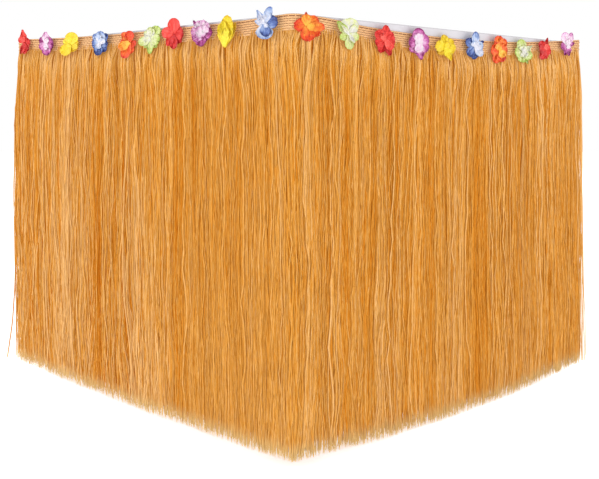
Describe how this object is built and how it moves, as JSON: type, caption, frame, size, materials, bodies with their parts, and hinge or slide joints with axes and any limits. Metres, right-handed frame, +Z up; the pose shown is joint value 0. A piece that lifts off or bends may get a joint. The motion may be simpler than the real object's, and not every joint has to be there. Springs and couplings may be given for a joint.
{
  "type": "grass table skirt on a table",
  "caption": "Raffia grass skirt on a woven heading band with silk flowers, pinned round one corner of a plain white square table.",
  "frame": {"origin": "centre of the floor footprint, at the bottom centre of the overall box", "axes": "+Z up out of the table top, -Y out of the skirted front side, +X out of the skirted right side"},
  "size_m": [0.9468, 0.9445, 0.7905],
  "materials": {
    "white_lacquer": "white satin lacquer on board",
    "raffia_braid": "flat woven raffia braid with fine ribs, tan",
    "raffia_strands": "satin crinkled raffia ribbons, golden orange",
    "red_silk": "soft matt artificial silk, red",
    "purple_silk": "soft matt artificial silk, purple",
    "yellow_silk": "soft matt artificial silk, yellow",
    "blue_silk": "soft matt artificial silk, blue",
    "orange_silk": "soft matt artificial silk, orange",
    "green_silk": "soft matt artificial silk, green"
  },
  "bodies": {
    "root": {"table_top": "white_lacquer", "table_leg_front_right": "white_lacquer", "table_leg_front_left": "white_lacquer", "table_leg_back_right": "white_lacquer", "table_leg_back_left": "white_lacquer", "heading_band": "raffia_braid", "raffia_fringe": "raffia_strands", "flower_01_red": "red_silk", "flower_02_purple": "purple_silk", "flower_03_yellow": "yellow_silk", "flower_04_blue": "blue_silk", "flower_05_orange": "orange_silk", "flower_06_green": "green_silk", "flower_07_red": "red_silk", "flower_08_purple": "purple_silk", "flower_09_yellow": "yellow_silk", "flower_10_blue": "blue_silk", "flower_11_orange": "orange_silk", "flower_12_green": "green_silk", "flower_13_red": "red_silk", "flower_14_purple": "purple_silk", "flower_15_yellow": "yellow_silk", "flower_16_blue": "blue_silk", "flower_17_orange": "orange_silk", "flower_18_green": "green_silk", "flower_19_red": "red_silk", "flower_20_purple": "purple_silk"}
  },
  "joints": []
}
